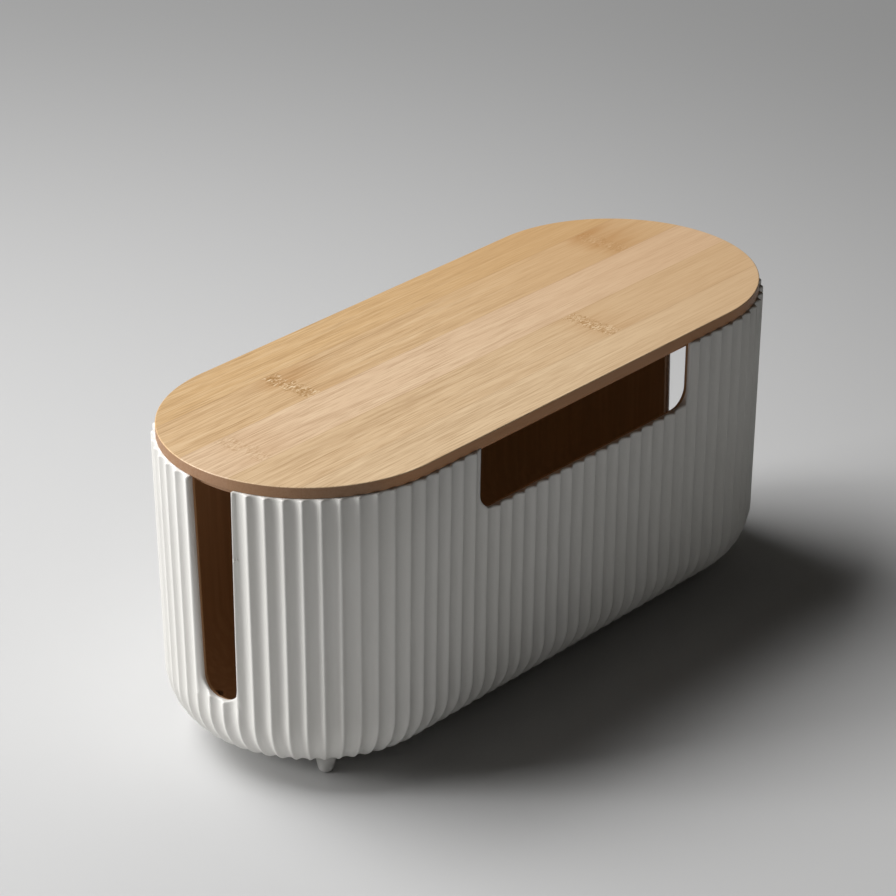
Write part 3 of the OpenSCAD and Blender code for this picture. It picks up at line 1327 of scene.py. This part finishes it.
@dataclass(frozen=True)
class Bamboo(Finish):
    """Laminated bamboo under a satin lacquer, with strips along X.

    Attributes:
        strip_width: width of a strip; strip 0 is centred on the board.
        strips: colour of each strip, from the front to the rear.
        end_grain: colour of the side round the ends, past the straight sides.
        top: height of the board's face.
        calm_part, far_darkening_part, ends_part: X between which the streaks grow weaker,
            the board's colour grows darker towards +X, and the side turns into end grain.
        calm_share, far_darkening_share: how strong the streaks and the darkening are there.
        rim_part: depths below the face between which the side's colour comes in.
        rim_share: how strong the side's colour is.
        side: colour of the straight sides, darker and warmer than the face: painted shade
            and warm bounce light over the side grain.
        glue_line: distances from a strip's middle, in strips, at which the line
            between two strips starts and is at its darkest.
        glue_share: how dark that line is.
        roughness: least and greatest roughness.
    """

    name: str = "bamboo"
    strip_width: float = 27.6 * MM
    strips: tuple[Colour, ...] = (
        (0.765, 0.560, 0.345),
        (0.745, 0.530, 0.315),
        (0.795, 0.570, 0.370),
        (0.735, 0.500, 0.275),
        (0.715, 0.470, 0.235),
    )
    knots: tuple[Knot, ...] = (
        Knot(-83 * MM, 1, 1.0, 0.45),
        Knot(49.5 * MM, -1, 0.8, 0.25),
        Knot(123 * MM, 1, 0.35, 0.75),
        Knot(-139 * MM, 0, 0.40, 0.15),
    )
    dark: Colour = (0.34, 0.180, 0.070)
    pale: Colour = (0.92, 0.72, 0.48)
    mark: Colour = (0.36, 0.185, 0.055)
    smudge: Colour = (0.50, 0.250, 0.085)
    # painted shade: the side colour is darkened and warmed for the shade the sides lie in
    side: Colour = (0.56, 0.225, 0.070)
    end_grain: Colour = (0.290, 0.130, 0.055)
    top: float = 144.2 * MM
    calm_part: tuple[float, float] = (-60 * MM, 120 * MM)
    far_darkening_part: tuple[float, float] = (-30 * MM, 150 * MM)
    ends_part: tuple[float, float] = (105 * MM, 135 * MM)
    calm_share: float = 0.45
    far_darkening_share: float = 0.27
    rim_part: tuple[float, float] = (0.5 * MM, 0.2 * MM)
    rim_share: float = 0.8
    glue_line: tuple[float, float] = (0.487, 0.497)
    glue_share: float = 0.30
    roughness: tuple[float, float] = (0.40, 0.52)
    fibre_height: float = 0.03 * MM

    def dress(self, bench: Bench, place: NodeSocket) -> dict[str, Value]:
        """Joins the strips, the fibres, the knuckles and the lacquer.

        Args:
            bench: puts nodes into the material.
            place: Object coordinates.

        Returns:
            Values and sockets for the shader's inputs.
        """
        x, y, z = bench.axes(place)
        broad = self.fibres(bench, place, (160 * MM, 5.0 * MM, 1.0))
        middle = self.fibres(bench, place, (70 * MM, 1.3 * MM, 7.0))
        fine = self.fibres(bench, place, (16 * MM, 0.50 * MM, 13.0))
        pores = self.fibres(bench, place, (50 * MM, 0.55 * MM, 29.0))
        calm = bench.fade(x, *self.calm_part, 1.0, self.calm_share)
        colour = self.strip_tones(bench, y)
        for streaks, start, end, share, tone in (
            (broad, 0.45, 0.75, 0.22, self.dark),
            (broad, 0.50, 0.28, 0.22, self.pale),
            (middle, 0.50, 0.78, 0.26, self.dark),
            (middle, 0.46, 0.25, 0.24, self.pale),
            (fine, 0.45, 0.68, 0.36, self.dark),
            (fine, 0.45, 0.27, 0.34, self.pale),
            (pores, 0.58, 0.70, 0.45, self.dark),
        ):
            strength = bench.times(bench.fade(streaks, start, end, 0.0, share), calm)
            colour = bench.blend(strength, colour, tone)
        for knot in self.knots:
            given = {
                "Vector": place, "Along": knot.along, "Across": knot.strip * self.strip_width,
                "Half Strip": self.strip_width / 2,
            }
            made = bench.effect(Knuckle(), given)
            for part, share, tone in (
                ("Smudge", knot.smudge, self.smudge),
                ("Dark", 0.8 * knot.marks, self.mark),
                ("Pale", 0.9 * knot.marks, self.pale),
            ):
                colour = bench.blend(bench.times(made[part], share), colour, tone)
        # The colour grows darker towards +X, blended towards the smudge colour.
        far_darkening = bench.fade(x, *self.far_darkening_part, 0.0, self.far_darkening_share)
        colour = bench.blend(far_darkening, colour, self.smudge)
        # The side under the face takes the side colour, which carries painted shade.
        low, high = (self.top - depth for depth in self.rim_part)
        edge = bench.fade(z, low, high, self.rim_share, 0.0)
        ends = bench.fade(bench.math("ABSOLUTE", x), *self.ends_part)
        return {
            "Base Color": bench.blend(edge, colour, bench.blend(ends, self.side, self.end_grain)),
            "Roughness": bench.fade(middle, *NOISE_RANGE, *self.roughness),
            "Normal": bench.bump(fine, strength=0.5, distance=self.fibre_height),
            "IOR": 1.48,
        }

    def strip_tones(self, bench: Bench, y: NodeSocket) -> NodeSocket:
        """Colours each strip, with a thin glue line between them.

        Args:
            bench: puts nodes into the material.
            y: place across the strips.

        Returns:
            The colour.
        """
        count = len(self.strips)
        share = bench.math("DIVIDE", y, self.strip_width * count)
        share = bench.math("ADD", share, 0.5)
        in_strip = bench.math("FRACT", bench.times(share, float(count)))
        edge = bench.math("ABSOLUTE", bench.minus(in_strip, 0.5))
        line = bench.fade(edge, *self.glue_line, 0.0, self.glue_share)
        return bench.blend(line, bench.bands(share, self.strips), self.dark)

    def fibres(
        self, bench: Bench, place: NodeSocket, pattern: tuple[float, float, float]
    ) -> NodeSocket:
        """Places streaks of one length, width and seed."""
        given = {"Vector": place, **dict(zip(("Length", "Width", "Seed"), pattern))}
        return bench.effect(Fibres(), given)["Value"]


@dataclass(frozen=True)
class ZincSteel(Finish):
    """Zinc plated steel with a fine, uneven gloss."""

    name: str = "zinc_steel"
    colour: Colour = (0.58, 0.58, 0.60)
    dull: Colour = (0.464, 0.464, 0.48)
    roughness: tuple[float, float] = (0.28, 0.42)
    grain_size: float = 0.2 * MM

    def dress(self, bench: Bench, place: NodeSocket) -> dict[str, Value]:
        """Joins the plating's uneven gloss.

        Args:
            bench: puts nodes into the material.
            place: Object coordinates.

        Returns:
            Values and sockets for the shader's inputs.
        """
        given = {"Vector": place, "Grain Size": self.grain_size}
        grain = bench.effect(MouldGrain(), given)["Height"]
        return {
            "Base Color": bench.blend(bench.fade(grain, *NOISE_RANGE), self.colour, self.dull),
            "Roughness": bench.fade(grain, *NOISE_RANGE, *self.roughness),
            "Metallic": 1.0,
        }


@dataclass(frozen=True)
class FloorCloth(Finish):
    """A pale matt floor with a painted pool of light: its colour darkens slowly with distance from
    one place.
    """

    name: str = "floor_pale"
    colour: Colour = (0.61, 0.61, 0.61)
    # painted shade: the floor's colour far from the centre, standing in for light falling off
    far_painted_shade: Colour = (0.33, 0.33, 0.33)
    centre: tuple[float, float, float] = (-0.15, 0.10, 0.0)
    fall_off: tuple[float, float] = (0.15, 1.0)

    def dress(self, bench: Bench, place: NodeSocket) -> dict[str, Value]:
        """Joins the painted falloff: the colour darkens away from the centre.

        Args:
            bench: puts nodes into the material.
            place: Object coordinates.

        Returns:
            Values and sockets for the shader's inputs.
        """
        given = {0: place, 1: self.centre}
        away = bench.add("ShaderNodeVectorMath", given, operation="DISTANCE").outputs["Value"]
        share = bench.fade(away, *self.fall_off)
        return {
            "Base Color": bench.blend(share, self.colour, self.far_painted_shade),
            "Roughness": 0.9,
            "Specular IOR Level": 0.2,
        }


# -------------------------------------------------------------------------- pieces


@dataclass
class Shell:
    """The fluted white shell with its three cable slots."""

    flute_count: int = 105
    flute_depth: float = 1.7 * MM
    crest_round: float = 1.0 * MM
    lean: float = math.radians(1.16)
    corner: float = 27.4 * MM
    wall: float = 3.2 * MM
    edge_round: float = 0.9 * MM
    inner_round: float = 0.3 * MM
    end_slot_depth: float = 100.2 * MM
    end_slot_half: float = 11.3 * MM
    end_slot_corner: float = 8.6 * MM
    end_slot_lean: float = math.radians(0.94)
    near_offset: float = -4.6 * MM
    far_offset: float = 4.6 * MM
    front_offset: float = 2.2 * MM
    front_slot_half: float = 69.2 * MM
    front_slot_depth: float = 29.6 * MM
    front_slot_corner: float = 8.0 * MM
    finish: Finish = MouldedPlastic(
        "moulded_white", colour=(0.86, 0.845, 0.81), shade=(0.83, 0.815, 0.775),
        roughness=(0.39, 0.47),
    )

    def form(self) -> CupForm:
        """Takes the shell's form from its place in the frame.

        Returns:
            The form.
        """
        low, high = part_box("fluted_shell")
        lid_low, lid_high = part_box("lid_board")
        half = (lid_high.x - lid_low.x - lid_high.y + lid_low.y) / 2
        return CupForm(Plan(half, high.y), high.z, low.z, self.corner, self.lean)

    def slots(self, rim: float, grow: float = 0.0) -> tuple[Slot, ...]:
        """Lists the slots.

        Args:
            rim: height from which their sides lean.
            grow: how far their outlines are moved out.

        Returns:
            The slots.
        """
        end_foot, front_foot = rim - self.end_slot_depth, rim - self.front_slot_depth
        end = (self.end_slot_half, end_foot, self.end_slot_corner, self.end_slot_lean, rim)
        front = (self.front_slot_half, front_foot, self.front_slot_corner, 0, rim)
        slots = (
            Slot(Side.NEAR, self.near_offset, *end),
            Slot(Side.FAR, self.far_offset, *end),
            Slot(Side.FRONT, self.front_offset, *front),
        )
        return tuple(slot.grown(grow) for slot in slots)

    def build(self) -> list[Object]:
        """Builds the shell and puts it in the frame.

        Returns:
            The piece, in a list of one.
        """
        form = self.form()
        pitch = form.plan.perimeter / self.flute_count
        flutes = Flutes(self.flute_count, pitch, self.flute_depth, self.crest_round)
        slots = self.slots(form.rim)
        cup = Cup(form, flutes, self.wall, slots, self.edge_round, self.inner_round)
        shell = make_object("shell", cup.mesh(), self.finish.material())
        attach(shell, "box")
        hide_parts("fluted_shell")
        return [shell]


@dataclass
class Tub:
    """The brown tub inside the shell, with the pads that its screws go through."""

    shell: Shell
    wall: float = 1.6 * MM
    setback: float = 0.8 * MM
    corner: float = 23.9 * MM
    edge_round: float = 0.4 * MM
    columns: int = 560
    extra_rows: tuple[float, ...] = (124 * MM,)
    pad_radius: float = 4.0 * MM
    pad_sink: float = 0.5 * MM
    head_radius: float = 2.8 * MM
    head_height: float = 1.4 * MM
    finish: Finish = StainedTub()

    def build(self) -> list[Object]:
        """Builds the tub and puts it in the frame.

        Returns:
            The piece, in a list of one.
        """
        low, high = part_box("inner_tub")
        shell_form = self.shell.form()
        plan = Plan(shell_form.plan.half_straight, high.y)
        form = CupForm(plan, high.z, low.z, self.corner, self.shell.lean)
        wall = PlainWall(self.columns, plan.perimeter / self.columns)
        slots = self.shell.slots(shell_form.rim, self.setback)
        cup = Cup(form, wall, self.wall, slots, self.edge_round, self.edge_round, self.extra_rows)
        bm = cup.mesh()
        for pad in self.pads(low.z + self.wall):
            join(bm, pad)
        tub = make_object("tub", bm, self.finish.material())
        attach(tub, "box")
        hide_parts("inner_tub")
        return [tub]

    def pads(self, floor: float) -> list[BMesh]:
        """Turns the pads, each with a seat for a screw's head.

        Args:
            floor: height of the tub's floor.

        Returns:
            A bmesh of each pad.
        """
        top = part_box("foot_screws")[1].z
        outline = (
            (0, floor - self.pad_sink),
            (self.pad_radius, floor - self.pad_sink),
            (self.pad_radius, top),
            (self.head_radius, top),
            (self.head_radius / 2, top - self.head_height),
            (0, top - self.head_height),
        )
        pad = Lathe(outline)
        return [pad.mesh(foot.axis()) for foot in Foot]


class Foot(Enum):
    """The four feet, by the CAD node that holds each one's place."""

    FRONT_NEAR = "foot_front_near"
    FRONT_FAR = "foot_front_far"
    REAR_NEAR = "foot_rear_near"
    REAR_FAR = "foot_rear_far"

    def axis(self) -> Vector:
        """The foot's upright axis, at height 0.

        Returns:
            A point on the axis.
        """
        low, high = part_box(self.value)
        middle = (low + high) / 2
        return Vector((middle.x, middle.y, 0))


@dataclass
class Feet:
    """Four short tapered pegs with round tips."""

    tip_radius: float = 3.0 * MM
    tip_round: float = 1.7 * MM
    seat: float = 0.8 * MM
    finish: Finish = MouldedPlastic(
        "foot_white", colour=(0.76, 0.75, 0.725), shade=(0.72, 0.71, 0.685),
        roughness=(0.42, 0.50),
    )

    def build(self) -> list[Object]:
        """Turns the feet and puts them in the frame.

        Returns:
            The four pieces.
        """
        shell_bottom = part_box("fluted_shell")[0].z
        low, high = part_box(Foot.FRONT_NEAR.value)
        radius = (high.x - low.x) / 2
        top = high.z + self.seat
        outline = (
            (0, low.z),
            (self.tip_radius, low.z),
            (radius, shell_bottom),
            (radius, top),
            (0, top),
        )
        peg = Lathe(outline, rounded_end=self.tip_round)
        material = self.finish.material()
        feet = []
        for foot in Foot:
            name = foot.value.replace("foot_", "peg_")
            piece = make_object(name, peg.mesh(foot.axis()), material)
            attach(piece, "box")
            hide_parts(foot.value)
            feet.append(piece)
        return feet


@dataclass
class Lid:
    """The bamboo board that covers the box, and the plate that keeps it in place."""

    board_edge: float = 0.5 * MM
    plate_edge: float = 0.35 * MM
    finish: Finish = Bamboo()

    def build(self) -> list[Object]:
        """Builds both boards and puts them in the frame.

        Returns:
            The two pieces.
        """
        material = self.finish.material()
        board = self.board("lid", "lid_board", self.board_edge, material)
        plate = self.board("lid_plate", "lid_locating_plate", self.plate_edge, material)
        return [board, plate]

    def board(self, name: str, node: str, edge: float, material: Material) -> Object:
        """Builds one board in place of its CAD node.

        Args:
            name: the piece's name.
            node: the CAD node.
            edge: width of its softened edges.
            material: its material.

        Returns:
            The board.
        """
        low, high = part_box(node)
        plan = Plan((high.x - low.x - high.y + low.y) / 2, (high.y - low.y) / 2)
        piece = make_object(name, Board(plan, low.z, high.z, edge).mesh(), material)
        piece.modifiers.new("even_shading", "WEIGHTED_NORMAL").keep_sharp = True
        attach(piece, "lid")
        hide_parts(node)
        return piece


@dataclass
class Screws:
    """The countersunk screws that hold shell, tub and feet together."""

    finish: Finish = ZincSteel()

    def build(self) -> list[Object]:
        """Dresses the CAD screws, which keep their own meshes.

        Returns:
            The screws, in a list of one.
        """
        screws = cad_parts["foot_screws"]
        screws.data.materials.clear()
        screws.data.materials.append(self.finish.material())
        return [screws]


# -------------------------------------------------------------------------- studio


@dataclass(frozen=True)
class Lamp:
    """A soft square lamp that looks at the box.

    Attributes:
        name: the lamp's name.
        bearing: level direction from the box to the lamp, anticlockwise from +X.
        elevation: angle above the floor.
        distance: distance from the box.
        size: length of its sides.
        power: power in watts.
        aim: the point that it looks at.
    """

    name: str
    bearing: float
    elevation: float
    distance: float
    size: float
    power: float
    aim: tuple[float, float, float] = (0.0, 0.0, 0.07)

    def hang(self) -> Object:
        """Puts the lamp in the scene.

        Returns:
            The lamp.
        """
        light = bpy.data.lights.new(self.name, "AREA")
        light.size = self.size
        light.energy = self.power
        lamp = bpy.data.objects.new(self.name, light)
        level, height = math.cos(self.elevation), math.sin(self.elevation)
        away = Vector((math.cos(self.bearing) * level, math.sin(self.bearing) * level, height))
        lamp.location = Vector(self.aim) + away * self.distance
        lamp.rotation_euler = away.to_track_quat("Z", "Y").to_euler()
        bpy.context.scene.collection.objects.link(lamp)
        return lamp


@dataclass
class Studio:
    """The floor, the lamps and the camera."""

    camera_place: tuple[float, float, float] = (-1.0850, -0.9509, 0.8017)
    azimuth: float = math.radians(-48.391)
    elevation: float = math.radians(26.151)
    roll: float = math.radians(-0.148)
    lens: float = 147.37
    sensor: float = 36.0
    floor_size: float = 12.0
    sky: float = 0.019
    sky_colour: Colour = (1.0, 0.92, 0.78)
    lamps: tuple[Lamp, ...] = (
        Lamp("key", math.radians(114.8), math.radians(53), 3.0, 2.1, 106.0),
        Lamp("rear_left", math.radians(142), math.radians(20), 2.4, 0.8, 26.0),
        Lamp("left", math.radians(198), math.radians(16), 2.4, 0.5, 1.0),
    )

    def build(self) -> None:
        """Sets the studio up."""
        self.lay_floor()
        for lamp in self.lamps:
            lamp.hang()
        self.set_sky()
        self.place_camera()
        bpy.context.scene.view_settings.view_transform = "Standard"

    def lay_floor(self) -> None:
        """Lays the floor."""
        bm = bmesh.new()
        bmesh.ops.create_grid(bm, x_segments=1, y_segments=1, size=self.floor_size / 2)
        floor = make_object("floor", bm, FloorCloth().material())

    def set_sky(self) -> None:
        """Sets the weak light from all round."""
        world = bpy.data.worlds.new("studio")
        world.use_nodes = True
        background = world.node_tree.nodes["Background"]
        background.inputs["Color"].default_value = (*self.sky_colour, 1.0)
        background.inputs["Strength"].default_value = self.sky
        bpy.context.scene.world = world

    def place_camera(self) -> None:
        """Places the camera and turns it to its viewing angle."""
        camera = bpy.data.cameras.new("camera")
        camera.lens = self.lens
        camera.sensor_width = self.sensor
        level = math.cos(self.elevation)
        back = Vector((
            math.sin(self.azimuth) * level,
            -math.cos(self.azimuth) * level,
            math.sin(self.elevation),
        ))
        right = Vector((0, 0, 1)).cross(back).normalized()
        upright = Matrix((right, back.cross(right), back)).transposed()
        turned = Matrix.Rotation(self.roll, 3, back) @ upright
        stand = bpy.data.objects.new("camera", camera)
        stand.matrix_world = Matrix.Translation(self.camera_place) @ turned.to_4x4()
        bpy.context.scene.collection.objects.link(stand)
        bpy.context.scene.camera = stand


def main() -> None:
    """Builds the studio and the box, piece by piece."""
    logging.basicConfig(level=logging.INFO, format="%(message)s")
    Studio().build()
    shell = Shell()
    for maker in (shell, Tub(shell), Feet(), Lid(), Screws()):
        for piece in maker.build():
            log.info("%s: %d faces", piece.name, len(piece.data.polygons))


if __name__ == "__main__":
    main()
